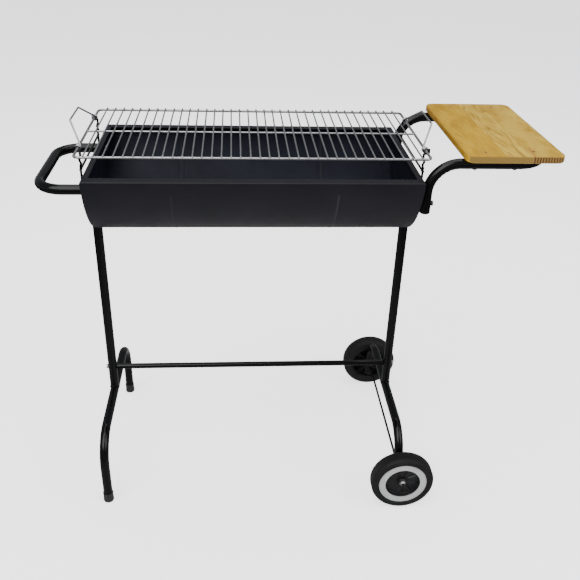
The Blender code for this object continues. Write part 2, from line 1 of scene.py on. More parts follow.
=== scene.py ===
"""Looks of the half-barrel charcoal barbecue trolley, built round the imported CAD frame.

Metres, +Z up, +X towards the side shelf, -Y towards the cook.
"""

import json
import math
import random

import bmesh
import bpy
from mathutils import Matrix, Vector


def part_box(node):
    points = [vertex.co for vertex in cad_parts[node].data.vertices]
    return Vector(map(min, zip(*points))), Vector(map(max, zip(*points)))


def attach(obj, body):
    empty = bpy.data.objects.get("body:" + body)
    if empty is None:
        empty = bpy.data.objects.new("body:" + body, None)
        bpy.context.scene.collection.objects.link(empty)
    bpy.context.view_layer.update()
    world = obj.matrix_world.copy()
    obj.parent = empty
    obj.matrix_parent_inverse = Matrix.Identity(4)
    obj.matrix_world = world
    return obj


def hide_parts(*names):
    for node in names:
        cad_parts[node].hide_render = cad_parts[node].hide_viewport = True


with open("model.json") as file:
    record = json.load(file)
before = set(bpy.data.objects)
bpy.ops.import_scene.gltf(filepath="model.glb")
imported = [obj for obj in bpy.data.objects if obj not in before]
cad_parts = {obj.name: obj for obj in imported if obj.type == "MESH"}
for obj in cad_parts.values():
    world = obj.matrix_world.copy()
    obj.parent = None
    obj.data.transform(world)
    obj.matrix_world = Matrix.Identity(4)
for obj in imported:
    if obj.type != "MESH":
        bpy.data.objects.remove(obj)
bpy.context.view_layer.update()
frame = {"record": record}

# ---- driving sizes

TUBE_R = 0.011
TUBE_WALL = 0.0012
TUBE_SIDES = 40
CAD_TUBE_SIDES = 12
SHEET = 0.0015
FOLD_R = 0.0022
LONG_FLANGE = 0.024
END_FLANGE = 0.013
FOOT_BEND_R = 0.073
HANDLE_BEND_R = 0.056
BRACKET_BEND_R = 0.064
FRAME_WIRE_R = 0.00275
MID_WIRE_R = 0.0022
CROSS_WIRE_R = 0.0017
CROSS_WIRES = 36
LIFT_WIRE_R = 0.002
AXLE_R = 0.003
RACK_WIRE_R = 0.0025
SHANK_R = 0.0029            # of the bolts and screws that go through sheet
NUT_BORE = 0.0028
WRINKLE_PITCH = 0.011       # along the inside of a tube's bend
HIDE = 0.0002               # depth to which joined pieces run into each other
UNBENT = Vector((0, 0, 0))  # stands for the direction to a bend's centre where none is

CAD_SHRINK = math.cos(math.pi / CAD_TUBE_SIDES)


# ---- places in the frame

def low(node):
    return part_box(node)[0]


def high(node):
    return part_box(node)[1]


def middle(node):
    return (low(node) + high(node)) / 2


JOINTS = {joint["name"]: joint for joint in frame["record"]["behaviour"]["joints"]}
SIDES = (("left", -1), ("right", 1))
ENDS = (("front", -1), ("back", 1))

PLATE_X = {"left": low("end_plate_left").x, "right": high("end_plate_right").x}
CENTRE_X = (PLATE_X["left"] + PLATE_X["right"]) / 2
TROUGH_HALF = high("trough_shell").x - CENTRE_X + 0.0005    # into the end plates
TROUGH_Y = high("trough_shell").y
RIM_Z = high("trough_shell").z
TROUGH_DEPTH = RIM_Z - low("trough_shell").z
ARC_R = (TROUGH_Y ** 2 + TROUGH_DEPTH ** 2) / (2 * TROUGH_DEPTH)
ARC_Z = RIM_Z - TROUGH_DEPTH + ARC_R

TUBE_X = {name: middle("upright_" + name).x for name, sign in SIDES}
FOOT_Z = high("foot_tube_left").z - TUBE_R * CAD_SHRINK
FOOT_Y = middle("foot_cap_back").y
BRACKET_Y = middle("bracket_plug_back").y
HANDLE_Y = middle("handle_bolt_back").y
RACK_Y = middle("rack_screw_left_back").y
AXLE = middle("axle")
WHEEL_R = (high("tyre_front").z - low("tyre_front").z) / 2
GRATE_Z = JOINTS["handle_left_swing"]["pos_m"][2]
GRATE_HALF = JOINTS["handle_right_swing"]["pos_m"][0] - CENTRE_X
GRATE_Y = high("cooking_grate").y - FRAME_WIRE_R * math.cos(math.pi / 8)


# ---- mesh helpers

def new_object(name, bm, mat):
    mesh = bpy.data.meshes.new(name)
    bm.to_mesh(mesh)
    bm.free()
    mesh.materials.append(mat)
    obj = bpy.data.objects.new(name, mesh)
    bpy.context.collection.objects.link(obj)
    return obj


def moved(bm, matrix):
    bmesh.ops.transform(bm, matrix=matrix, verts=bm.verts)
    return bm


def merge(target, other, matrix=None):
    """Append bmesh other to target."""
    if matrix is not None:
        moved(other, matrix)
    mesh = bpy.data.meshes.new("part")
    other.to_mesh(mesh)
    other.free()
    target.from_mesh(mesh)
    bpy.data.meshes.remove(mesh)
    return target


def bridge(bm, rows, caps=False):
    """Quads between each ring of vertices and the next; caps closes the first and last."""
    for one, two in zip(rows, rows[1:]):
        for index in range(len(one)):
            following = (index + 1) % len(one)
            bm.faces.new((one[index], one[following], two[following], two[index]))
    if caps:
        bm.faces.new(rows[0])
        bm.faces.new(rows[-1])


def fill_band(bm, row):
    """Fill a ring of vertices with strips between its first half and its second."""
    for index in range(len(row) // 2):
        far = len(row) - 1 - index
        if far - index > 1:
            corners = (row[index], row[index + 1], row[far - 1], row[far])
            bm.faces.new(list(dict.fromkeys(corners)))


def quarter(steps):
    """(sine, cosine) pairs through a quarter turn."""
    angles = [math.pi / 2 * step / steps for step in range(steps + 1)]
    return [(math.sin(angle), math.cos(angle)) for angle in angles]


def curved(start, corner, end, part):
    """A point on the quadratic curve from start to end that the corner pulls."""
    return start * (1 - part) ** 2 + corner * 2 * part * (1 - part) + end * part ** 2


def along(axis, at=(0, 0, 0)):
    """Matrix that takes +Z to the given axis and the origin to a point."""
    turn = Vector((0, 0, 1)).rotation_difference(Vector(axis)).to_matrix().to_4x4()
    return Matrix.Translation(at) @ turn


def rounded(points, radius, steps=16, closed=False):
    """Path points with round bends, and for each the direction to its bend's centre."""
    points = [Vector(point) for point in points]
    path = []
    count = len(points)
    for index, corner in enumerate(points):
        if not closed and index in (0, count - 1):
            path.append((corner, UNBENT))
            continue
        before = (points[index - 1] - corner).normalized()
        after = (points[(index + 1) % count] - corner).normalized()
        half = before.angle(after) / 2
        centre = corner + (before + after).normalized() * (radius / math.sin(half))
        start = corner + before * (radius / math.tan(half)) - centre
        axis = before.cross(after)
        for step in range(steps + 1):
            part = step / steps
            turn = Matrix.Rotation(-(math.pi - 2 * half) * part, 3, axis)
            spoke = turn @ start
            strength = min(1.0, 4 * part, 4 * (1 - part))
            path.append((centre + spoke, -spoke.normalized() * strength))
    return path


def straight(start, end):
    """A path with no bend in it."""
    return [(Vector(start), UNBENT), (Vector(end), UNBENT)]


def round_tip(bm, row, bulge):
    """Close the end of a bar with a dome that stands out by the bulge."""
    centre = sum((vert.co for vert in row), Vector()) / len(row)
    rings = [row]
    for part in (0.35, 0.7, 0.92):
        shrink = math.sqrt(1 - part ** 2)
        rings.append([bm.verts.new(centre + (vert.co - centre) * shrink + bulge * part)
                      for vert in row])
    bridge(bm, rings)
    bm.faces.new(rings[-1])


def sweep(path, radius, sides, bore=0.0, closed=False, ripple=0.0, tips=False):
    """A bar or tube along (point, inward) pairs; ripple folds the inside of its bends.

    Tips rounds the two ends of a bar.
    """
    bm = bmesh.new()
    spots = [point for point, inward in path]
    count = len(spots)
    side = None
    walls = {size: [] for size in (radius, bore) if size}
    travelled = 0.0
    for index, (point, inward) in enumerate(path):
        if closed:
            tangent = spots[(index + 1) % count] - spots[index - 1]
        else:
            tangent = spots[min(index + 1, count - 1)] - spots[max(index - 1, 0)]
        tangent.normalize()
        if index:
            travelled += (point - spots[index - 1]).length
        if side is None:
            side = tangent.orthogonal()
        side = (side - tangent * side.dot(tangent)).normalized()
        other = tangent.cross(side)
        wave = math.sin(2 * math.pi * travelled / WRINKLE_PITCH) - 0.6
        for size, rows in walls.items():
            row = []
            for step in range(sides):
                angle = 2 * math.pi * step / sides
                spoke = side * math.cos(angle) + other * math.sin(angle)
                reach = size
                if ripple and size == radius:
                    reach += ripple * max(0.0, spoke.dot(inward)) ** 2 * wave
                row.append(bm.verts.new(point + spoke * reach))
            rows.append(row)
    for rows in walls.values():
        bridge(bm, rows + rows[:1] if closed else rows)
    if closed:
        return bm
    for end, inner in ((0, 1), (-1, -2)):
        row = walls[radius][end]
        if bore:
            bridge(bm, [row, walls[bore][end]])
        elif tips:
            round_tip(bm, row, (spots[end] - spots[inner]).normalized() * radius)
        else:
            bm.faces.new(row)
    return bm


def rod(start, end, radius, sides=16, tips=False):
    return sweep(straight(start, end), radius, sides, tips=tips)


def softened(profile, radius, steps=4, closed=False):
    """A 2D outline with its inner corners rounded where there is room for it."""
    path = []
    count = len(profile)
    for index, corner in enumerate(profile):
        here = Vector(corner)
        if not closed and index in (0, count - 1):
            path.append(tuple(here))
            continue
        before = Vector(profile[index - 1]) - here
        after = Vector(profile[(index + 1) % count]) - here
        turn = before.angle(after)
        if turn > math.radians(165):
            path.append(tuple(here))
            continue
        reach = min(radius, 0.45 * before.length, 0.45 * after.length)
        one = here + before.normalized() * reach
        two = here + after.normalized() * reach
        for step in range(steps + 1):
            path.append(tuple(curved(one, here, two, step / steps)))
    return path


def turned(profile, segments, ring=False, shape=None):
    """Turn (radius, height) points about Z; shape(radius, height, angle) may move them."""
    bm = bmesh.new()
    rows = []
    for radius, height in profile:
        if radius == 0:
            rows.append([bm.verts.new((0, 0, height))])
            continue
        row = []
        for index in range(segments):
            angle = 2 * math.pi * index / segments
            r, z = shape(radius, height, angle) if shape else (radius, height)
            row.append(bm.verts.new((r * math.cos(angle), r * math.sin(angle), z)))
        rows.append(row)
    pairs = list(zip(rows, rows[1:]))
    if ring:
        pairs.append((rows[-1], rows[0]))
    for below, above in pairs:
        for index in range(segments):
            following = (index + 1) % segments
            corners = [below[index % len(below)], below[following % len(below)],
                       above[following % len(above)], above[index % len(above)]]
            bm.faces.new(list(dict.fromkeys(corners)))
    return bm


def six_sided(flat_r):
    """A shape for turned() that makes a hexagon with corners cut round at its ends."""
    def shape(radius, height, angle):
        if radius < flat_r * 0.999:
            return radius, height
        local = (angle + math.pi / 6) % (math.pi / 3) - math.pi / 6
        return min(radius, flat_r / math.cos(local)), height
    return shape


# ---- materials

class Paint:
    """A Principled material and short calls for building its nodes."""

    def __init__(self, name):
        self.mat = bpy.data.materials.new(name)
        self.mat.use_nodes = True
        self.tree = self.mat.node_tree
        self.shader = self.tree.nodes["Principled BSDF"]

    def node(self, kind, values, **settings):
        """A new node with its settings made and its inputs, by name or number, fed."""
        node = self.tree.nodes.new("ShaderNode" + kind)
        for name, setting in settings.items():
            setattr(node, name, setting)
        for key, value in values.items():
            self.feed(node.inputs[key], value)
        return node

    def feed(self, socket, value):
        if isinstance(value, bpy.types.NodeSocket):
            self.tree.links.new(value, socket)
        elif isinstance(value, tuple) and len(value) == 3 and socket.type == "RGBA":
            socket.default_value = (*value, 1.0)
        else:
            socket.default_value = value

    def set(self, **values):
        for name, value in values.items():
            self.feed(self.shader.inputs[name.replace("_", " ")], value)

    def math(self, operation, one, two=0.0, clamp=False):
        return self.node("Math", {0: one, 1: two}, operation=operation,
                         use_clamp=clamp).outputs[0]

    def times(self, one, two):
        return self.math("MULTIPLY", one, two)

    def plus(self, one, two):
        return self.math("ADD", one, two)

    def minus(self, one, two):
        return self.math("SUBTRACT", one, two)

    def size(self, value):
        return self.math("ABSOLUTE", value)

    def length(self, one, two):
        return self.math("SQRT", self.plus(self.times(one, one), self.times(two, two)))

    def fade(self, distance, width):
        """1 at no distance, falling to 0 at the width."""
        return self.math("SUBTRACT", 1.0, self.math("DIVIDE", distance, width), clamp=True)

    def place(self, stretch=(1, 1, 1), shift=None):
        """Object coordinates, stretched, with an optional vector added first."""
        out = self.tree.nodes.new("ShaderNodeTexCoord").outputs["Object"]
        if shift is not None:
            out = self.node("VectorMath", {0: out, 1: shift}, operation="ADD").outputs[0]
        return self.node("Mapping", {"Vector": out, "Scale": stretch}).outputs[0]

    def noise(self, scale, detail=4.0, at=None, roughness=0.55):
        at = at or self.place()
        return self.node("TexNoise", {"Vector": at, "Scale": scale, "Detail": detail,
                                      "Roughness": roughness}).outputs["Fac"]

    def ramp(self, value, *stops, mode="LINEAR"):
        """Stops are (place, colour or grey)."""
        node = self.node("ValToRGB", {0: value})
        node.color_ramp.interpolation = mode
        elements = node.color_ramp.elements
        while len(elements) < len(stops):
            elements.new(0.5)
        for element, (spot, colour) in zip(elements, stops):
            element.position = spot
            if isinstance(colour, (int, float)):
                colour = (colour, colour, colour)
            element.color = (*colour, 1.0)
        return node.outputs[0]

    def mix(self, base, *coats):
        """Mix (colour, factor) coats over a base, one after another."""
        for colour, factor in coats:
            base = self.node("Mix", {0: factor, 6: base, 7: colour},
                             data_type="RGBA").outputs[2]
        return base

    def split(self, vector):
        return self.node("SeparateXYZ", {0: vector}).outputs

    def join(self, x, y, z):
        return self.node("CombineXYZ", {0: x, 1: y, 2: z}).outputs[0]

    def bump(self, height, strength, distance, onto=None):
        values = {"Strength": strength, "Distance": distance, "Height": height}
        if onto is not None:
            values["Normal"] = onto
        normal = self.node("Bump", values).outputs[0]
        self.set(Normal=normal)
        return normal


def trough_paint(name, dark, light, specular):
    """Heat-resistant satin black: fine powder texture, soft patches, faint scuffs."""
    p = Paint(name)
    scuff = p.noise(1.0, 8.0, at=p.place((30, 240, 240)), roughness=0.7)
    base = p.mix(p.ramp(p.noise(7.0, 3.0), (0.35, dark), (0.7, light)),
                 ((0.030, 0.030, 0.031), p.ramp(scuff, (0.66, 0.0), (0.80, 0.30))),
                 ((0.022, 0.022, 0.025), p.ramp(p.noise(2200.0, 2.0), (0.60, 0.0), (0.78, 0.4))))

    # painted highlight: lighter lines along the press lines over the two inner strips, the right
    # one brighter
    where = p.split(p.place())
    below = p.math("LESS_THAN", where[2], RIM_Z - 0.028)
    for node, weight in (("stiffener_right", 0.50), ("stiffener_left", 0.20)):
        ridge = p.fade(p.size(p.minus(where[0], middle(node).x)), 0.0024)
        press_line_highlight = p.times(p.times(ridge, below), weight)
        base = p.mix(base, ((0.030, 0.030, 0.031), press_line_highlight))
    p.set(Base_Color=base, Roughness=p.ramp(p.noise(24.0, 5.0), (0.3, 0.40), (0.7, 0.50)),
          Specular_IOR_Level=specular)
    sheet = p.bump(p.noise(5.0, 1.0), 0.35, 0.0012)
    p.bump(p.noise(1500.0, 2.0), 0.10, 0.0003, onto=sheet)
    return p.mat


def tube_paint():
    """Gloss black enamel with orange peel and fine dust."""
    p = Paint("tube_paint")
    dust = p.ramp(p.noise(900.0, 4.0, roughness=0.7), (0.62, 0.0), (0.82, 0.35))
    p.set(Base_Color=p.mix((0.0020, 0.0020, 0.0023), ((0.024, 0.024, 0.024), dust)),
          Roughness=p.ramp(p.noise(45.0, 5.0), (0.3, 0.12), (0.75, 0.21)),
          Specular_IOR_Level=0.24)
    wavy = p.bump(p.noise(55.0, 2.0), 0.10, 0.0006)
    p.bump(p.noise(420.0, 2.0), 0.08, 0.0003, onto=wavy)
    return p.mat


def moulded_plastic(name, colour, rough):
    """Plastic with a fine spark-eroded grain and faint flow marks."""
    p = Paint(name)
    light = tuple(min(1.0, channel * 1.5 + 0.004) for channel in colour)
    flow = p.ramp(p.noise(40.0, 5.0, roughness=0.65), (0.4, 0.0), (0.8, 0.7))
    p.set(Base_Color=p.mix(colour, (light, flow)), Specular_IOR_Level=0.30,
          Roughness=p.ramp(p.noise(70.0, 4.0), (0.3, rough - 0.05), (0.7, rough + 0.07)))
    p.bump(p.noise(2600.0, 2.0), 0.14, 0.0002)
    return p.mat


def tyre_rubber():
    """Foamed rubber: matte, with a skin of tiny pits and paler handling marks."""
    p = Paint("tyre_rubber")
    press_line_highlight = p.noise(30.0, 6.0, roughness=0.6)
    base = p.ramp(press_line_highlight, (0.3, (0.0046, 0.0046, 0.0048)), (0.55, (0.0064, 0.0064, 0.0066)),
                  (0.8, (0.012, 0.012, 0.0118)))
    pits = p.noise(1500.0, 3.0, roughness=0.7)
    # the pits are painted darker as well as sunk: painted shade in the pits
    base = p.mix(base, ((0.004, 0.004, 0.004), p.ramp(pits, (0.30, 0.6), (0.42, 0.0))))
    p.set(Base_Color=base, Roughness=p.ramp(press_line_highlight, (0.3, 0.52), (0.8, 0.66)),
          Specular_IOR_Level=0.20)
    p.bump(pits, 0.35, 0.0003)
    return p.mat


def ring_plastic():
    """Silver-grey satin plastic with turned rings in its face."""
    p = Paint("ring_plastic")
    where = p.split(p.place())
    radius = p.length(where[0], where[2])
    lines = p.noise(1.0, 2.0, at=p.join(p.times(radius, 2600.0), 0.0, 0.0))
    cloud = p.noise(35.0, 4.0)
    base = p.mix(p.ramp(cloud, (0.3, (0.275, 0.275, 0.28)), (0.75, (0.335, 0.335, 0.34))),
                 ((0.27, 0.27, 0.275), p.ramp(lines, (0.45, 0.0), (0.8, 0.5))))
    p.set(Base_Color=base, Roughness=p.ramp(cloud, (0.3, 0.36), (0.75, 0.46)))
    p.bump(lines, 0.12, 0.0002)
    return p.mat


def metal(name, colour, rough, streak=0.0):
    """Plated steel with slow tone changes, specks and fine drawing lines."""
    p = Paint(name)
    dark, speck = (tuple(channel * part for channel in colour) for part in (0.72, 0.45))
    cloud = p.noise(60.0, 5.0, roughness=0.6)
    base = p.mix(dark, (colour, p.ramp(cloud, (0.30, 0.0), (0.60, 1.0))),
                 (speck, p.ramp(p.noise(1400.0, 2.0), (0.68, 0.0), (0.80, 0.6))))
    p.set(Base_Color=base, Metallic=1.0,
          Roughness=p.ramp(cloud, (0.3, rough + 0.08), (0.7, rough - 0.03)))
    p.bump(p.noise(700.0, 3.0), 0.05 + streak, 0.0002)
    return p.mat


def pine_board():
    """Three glued pine planks, grain from front to back, with knots and finger joints."""
    p = Paint("pine_board")
    board = middle("shelf_board")
    half = high("shelf_board") - board
    x, y, z = p.split(p.place(shift=tuple(-board)))
    joints = (-0.0223, 0.0317)
    first, second = (p.math("GREATER_THAN", x, joint) for joint in joints)
    plank = p.plus(first, second)
    apart = p.times(plank, 3.7)

    def drawn(detail, across, lengthwise, depth=apart):
        """Noise drawn out along the grain, different in each plank."""
        return p.noise(1.0, detail, at=p.join(p.times(x, across), p.times(y, lengthwise), depth))

    # growth rings: bands along Y, drawn out by slow noise into long arches
    drift = drawn(2.0, 13.0, 1.5)
    wander = drawn(3.0, 70.0, 2.2)
    rings = p.plus(p.times(x, 130.0), p.plus(p.times(drift, 21.0), p.times(wander, 1.6)))
    knots = ((-0.0604, -0.168, 0.0036), (0.0434, -0.1606, 0.0044), (0.0545, 0.1673, 0.0040),
             (-0.0486, 0.1604, 0.0024), (0.0163, 0.0420, 0.0018))
    knot = 0.0
    halo = 0.0
    for knot_x, knot_y, size in knots:
        far = p.length(p.minus(x, knot_x), p.times(p.minus(y, knot_y), 0.62))
        knot = p.math("MAXIMUM", knot, p.fade(far, size))
        halo = p.math("MAXIMUM", halo, p.fade(far, size * 5.0))
    rings = p.plus(rings, p.times(p.times(halo, halo), 3.0))
    late = p.math("POWER", p.math("FRACT", rings), 4.0)
    heart = p.times(first, p.minus(1.0, second))
    fibre = drawn(4.0, 1100.0, 22.0, z)
    dashes = drawn(2.0, 900.0, 75.0)
    blotch = drawn(4.0, 32.0, 11.0)
    tone = p.ramp(p.times(plank, 0.5), (0.0, (0.455, 0.268, 0.006)),
                  (0.34, (0.560, 0.372, 0.045)), (0.84, (0.520, 0.335, 0.038)), mode="CONSTANT")
    base = p.mix(tone, ((0.31, 0.158, 0.0), p.ramp(blotch, (0.44, 0.0), (0.66, 0.80))),
                 ((0.58, 0.38, 0.050), p.ramp(blotch, (0.24, 0.60), (0.42, 0.0))),
                 ((0.17, 0.072, 0.004), p.times(late, p.plus(p.times(heart, 0.38), 0.48))),
                 ((0.62, 0.42, 0.070), p.ramp(fibre, (0.30, 0.26), (0.50, 0.0))),
                 ((0.24, 0.115, 0.010), p.ramp(fibre, (0.54, 0.0), (0.74, 0.48))),
                 ((0.22, 0.10, 0.03), p.ramp(dashes, (0.70, 0.0), (0.80, 0.45))),
                 ((0.30, 0.14, 0.035), p.times(halo, 0.38)),
                 ((0.060, 0.024, 0.008), p.ramp(knot, (0.05, 0.0), (0.55, 0.92))))

    # red-brown resin streak running back from the front edge beside the right-hand joint
    streak_x = p.plus(p.times(p.plus(y, 0.200), 0.085), 0.0352)
    off = p.plus(p.size(p.minus(x, streak_x)), p.times(p.minus(wander, 0.5), 0.004))
    forward = p.math("DIVIDE", p.minus(-0.115, y), 0.05, clamp=True)
    base = p.mix(base, ((0.26, 0.058, 0.014),
                        p.times(p.times(p.fade(off, 0.0034), forward), 0.85)))

    # glue lines between planks
    for joint in joints:
        line = p.fade(p.size(p.minus(x, joint)), 0.0007)
        base = p.mix(base, ((0.20, 0.10, 0.03), p.times(line, 0.45)))

    # end grain on the front and back edges, and finger joints in the right-hand plank's front
    facing = p.split(p.tree.nodes.new("ShaderNodeNewGeometry").outputs["Normal"])[1]
    end_face = p.ramp(p.size(facing), (0.55, 0.0), (0.80, 1.0))
    arch = p.math("FRACT", p.plus(p.times(p.size(z), 420.0), p.times(rings, 1.7)))
    tooth = p.math("FRACT", p.math("DIVIDE", p.minus(x, joints[1]), 0.0058))
    tooth = p.ramp(tooth, (0.40, 0.0), (0.50, 1.0), (0.86, 1.0), (0.96, 0.0))
    comb = p.times(p.times(tooth, second), p.math("LESS_THAN", facing, -0.5))
    comb = p.times(comb, p.ramp(blotch, (0.3, 1.0), (0.7, 0.85)))
    end_tone = p.mix((0.185, 0.112, 0.020),
                     ((0.085, 0.042, 0.005), p.times(p.math("POWER", arch, 2.0), 0.55)),
                     ((0.052, 0.010, 0.003), comb))
    base = p.mix(base, (end_tone, end_face))

    # darker along the outline, away from the end-grain faces
    rim = 0.006
    edge = 0.0
    for value, reach in ((x, half.x), (y, half.y)):
        near = p.math("DIVIDE", p.minus(p.size(value), reach - rim), rim, clamp=True)
        edge = p.math("MAXIMUM", edge, near)
    edge = p.times(edge, p.minus(1.0, end_face))
    base = p.mix(base, ((0.25, 0.115, 0.010), p.times(edge, 0.50)))
    p.set(Base_Color=base, Roughness=p.ramp(blotch, (0.3, 0.48), (0.7, 0.60)),
          Specular_IOR_Level=0.22, Coat_Weight=0.06, Coat_Roughness=0.30)
    raised = p.bump(p.times(late, -1.0), 0.18, 0.0003)
    p.bump(fibre, 0.16, 0.0002, onto=raised)
    return p.mat


MATERIALS = {
    "trough_paint": trough_paint("trough_paint", (0.0036, 0.0033, 0.0060),
                                 (0.0056, 0.0052, 0.0086), 0.25),
    # paler, bluer copy of the trough paint for the inside faces, with little specular: painted
    # reflection standing in for the surroundings the satin inside reflects
    "trough_lining": trough_paint("trough_lining", (0.0070, 0.0080, 0.0140),
                                  (0.0120, 0.0135, 0.0225), 0.09),
    "tube_paint": tube_paint(),
    "black_plastic": moulded_plastic("black_plastic", (0.0125, 0.0125, 0.013), 0.42),
    "hub_plastic": moulded_plastic("hub_plastic", (0.0070, 0.0070, 0.0078), 0.36),
    "ring_plastic": ring_plastic(),
    "tyre_rubber": tyre_rubber(),
    "zinc_fasteners": metal("zinc_fasteners", (0.46, 0.46, 0.45), 0.32, 0.04),
    # plain darker zinc, for the nuts and thread ends inside the trough and for the whole bracket
    # bolts
    "sooty_zinc": metal("sooty_zinc", (0.10, 0.10, 0.10), 0.45, 0.04),
    "chrome_wire": metal("chrome_wire", (0.40, 0.40, 0.41), 0.36),
    "pine_board": pine_board(),
    "axle_steel": metal("axle_steel", (0.035, 0.035, 0.036), 0.36, 0.03),
}


def add(name, bm, slot, body="cart", replaced=None, origin=(0, 0, 0), sharp=38):
    """A smooth-shaded piece in its record slot's material, riding on its body.

    By default it stands for the node of its name.
    """
    if replaced is None:
        replaced = (name,)
        name = name + "_skin"
    bmesh.ops.recalc_face_normals(bm, faces=bm.faces)
    obj = new_object(name, bm, MATERIALS[slot])
    obj.data.shade_smooth()
    obj.data.set_sharp_from_angle(angle=math.radians(sharp))
    obj.location = origin
    bpy.context.view_layer.update()
    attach(obj, body)
    if replaced:
        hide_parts(*replaced)
    return obj


# ---- trough

def arc_points(radius, half_angle, steps):
    """(y, z) points of an arc about the trough's centre line, front to back."""
    points = []
    for step in range(steps + 1):
        angle = -half_angle + 2 * half_angle * step / steps
        points.append((radius * math.sin(angle), ARC_Z - radius * math.cos(angle)))
    return points


def offset_line(points, distance):
    """A 2D polyline moved sideways by a distance, to its left."""
    moved = []
    count = len(points)
    for index, point in enumerate(points):
        before = Vector(points[max(index - 1, 0)])
        after = Vector(points[min(index + 1, count - 1)])
        direction = (after - before).normalized()
        moved.append((point[0] - direction.y * distance, point[1] + direction.x * distance))
    return moved


def line_inside(obj, inside_slot):
    """Give the faces towards the coals a second material: on the sheet a paler, bluer copy of the
    paint with little specular, a painted reflection of the surroundings inside the trough; on the
    bolts a darker zinc.
    """
    obj.data.materials.append(MATERIALS[inside_slot])
    for face in obj.data.polygons:
        x, y, z = face.center
        within = math.hypot(y, z - ARC_Z) < ARC_R - SHEET * 0.8
        between = abs(x - CENTRE_X) < PLATE_X["right"] - CENTRE_X - SHEET * 0.6
        if within and between and z < RIM_Z - SHEET * 0.8:
            face.material_index = 1


def trough_shell():
    """Rolled sheet with folded flanges, mitred ends and two faint press lines."""
    half = SHEET / 2
    middle_r = ARC_R - half
    full = math.acos((ARC_Z - (RIM_Z - half)) / middle_r)
    top = RIM_Z - half
    wall_y = middle_r * math.sin(full)
    tip_y = wall_y + half - LONG_FLANGE
    fold_angle = FOLD_R / middle_r
    arc = arc_points(middle_r, full - fold_angle, 120)
    corner = Vector((wall_y, top))
    fold_end = Vector((wall_y - FOLD_R, top))
    fold = [tuple(curved(Vector(arc[-1]), corner, fold_end, step / 7)) for step in range(1, 7)]
    flange = fold + [(wall_y - FOLD_R, top), ((wall_y + tip_y) / 2, top), (tip_y, top)]
    line = [(-y, z) for y, z in reversed(flange)] + arc + flange
    inside = offset_line(line, half)
    outside = offset_line(line, -half)
    outline = inside + outside[::-1]

    press = middle("stiffener_right").x - CENTRE_X
    slices = [-1.0 + 2.0 * step / 40 for step in range(41)]
    stations = sorted(set([TROUGH_HALF * part for part in slices]
                          + [sign * press + offset for sign in (-1, 1)
                             for offset in (-0.004, -0.002, 0.0, 0.002, 0.004)]))
    bm = bmesh.new()
    rows = []
    for x in stations:
        row = []
        bulge = 0.0006 * sum(math.exp(-((x - sign * press) / 0.0022) ** 2) for sign in (-1, 1))
        for y, z in outline:
            reach = max(0.0, (wall_y - abs(y)) / LONG_FLANGE) if z > top - SHEET else 0.0
            mitred = 1 - reach * END_FLANGE / TROUGH_HALF
            spoke = Vector((y, z - ARC_Z)).normalized()
            low_part = 1.0 if z < RIM_Z - 0.02 else 0.0
            row.append(bm.verts.new((CENTRE_X + x * mitred, y + spoke.x * bulge * low_part,
                                     z + spoke.y * bulge * low_part)))
        rows.append(row)
    bridge(bm, rows)
    fill_band(bm, rows[0])
    fill_band(bm, rows[-1])
    line_inside(add("trough_shell", bm, "trough_paint"), "trough_lining")


def end_plate(name, sign):
    """Half-round plate with its top folded inward to a mitred flange."""
    outer_x = PLATE_X[name]
    full = math.acos((ARC_Z - RIM_Z) / ARC_R)
    arc = arc_points(ARC_R, full, 96)
    bm = bmesh.new()
    inner_x = outer_x - sign * SHEET
    edge = 0.0004
    rings = []
    for x, shrink in ((outer_x, edge), (outer_x - sign * edge, 0.0), (inner_x + sign * edge, 0.0),
                      (inner_x, edge)):
        ring = []
        for y, z in arc:
            spoke = Vector((y, z - ARC_Z)).normalized()
            top = RIM_Z - FOLD_R
            ring.append(bm.verts.new((x, y - spoke.x * shrink, min(z - spoke.y * shrink, top))))
        rings.append(ring)
    bridge(bm, rings)
    # level strips across the half round give both faces clean quads
    fill_band(bm, rings[0])
    fill_band(bm, rings[-1])

    # folded flange
    profile = [(FOLD_R * (1 - cosine), RIM_Z - FOLD_R + FOLD_R * sine)
               for sine, cosine in quarter(8)]
    profile += [(END_FLANGE * 0.6, RIM_Z - 0.0001), (END_FLANGE, RIM_Z - 0.0005)]
    under = offset_line(profile, -SHEET * 0.98)
    loop = profile + under[::-1]
    ends = []
    for end in (-1, 1):
        row = []
        for depth, z in loop:
            reach = TROUGH_Y - LONG_FLANGE * max(depth, 0.0) / END_FLANGE - 0.0004
            row.append(bm.verts.new((outer_x - sign * depth, end * reach, z)))
        ends.append(row)
    bridge(bm, ends)
    fill_band(bm, ends[0])
    fill_band(bm, ends[1])
    line_inside(add("end_plate_" + name, bm, "trough_paint"), "trough_lining")


def stiffener(name):
    """Flat strip lying along the inside of the shell."""
    lowest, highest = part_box("stiffener_" + name)
    half_width = (highest.x - lowest.x) / 2
    outer = ARC_R - SHEET - HIDE
    inner = outer - SHEET
    chamfer = 0.0004
    half_angle = math.acos((ARC_Z - highest.z) / outer)
    section = [(half_width, outer), (half_width, inner + chamfer), (half_width - chamfer, inner),
               (-half_width + chamfer, inner), (-half_width, inner + chamfer),
               (-half_width, outer)]
    bm = bmesh.new()
    lines = [arc_points(radius, half_angle, 90) for x, radius in section]
    rows = [[bm.verts.new((middle("stiffener_" + name).x + x, y, z))
             for (x, radius), (y, z) in zip(section, points)] for points in zip(*lines)]
    bridge(bm, rows, caps=True)
    line_inside(add("stiffener_" + name, bm, "trough_paint"), "trough_lining")


# ---- tubes

def hollow(path, ripple=0.0):
    return sweep(path, TUBE_R, TUBE_SIDES, bore=TUBE_R - TUBE_WALL, ripple=ripple)


def bent_tube(node, corners, bend_r, steps, ripple):
    add(node, hollow(rounded(corners, bend_r, steps), ripple), "tube_paint")


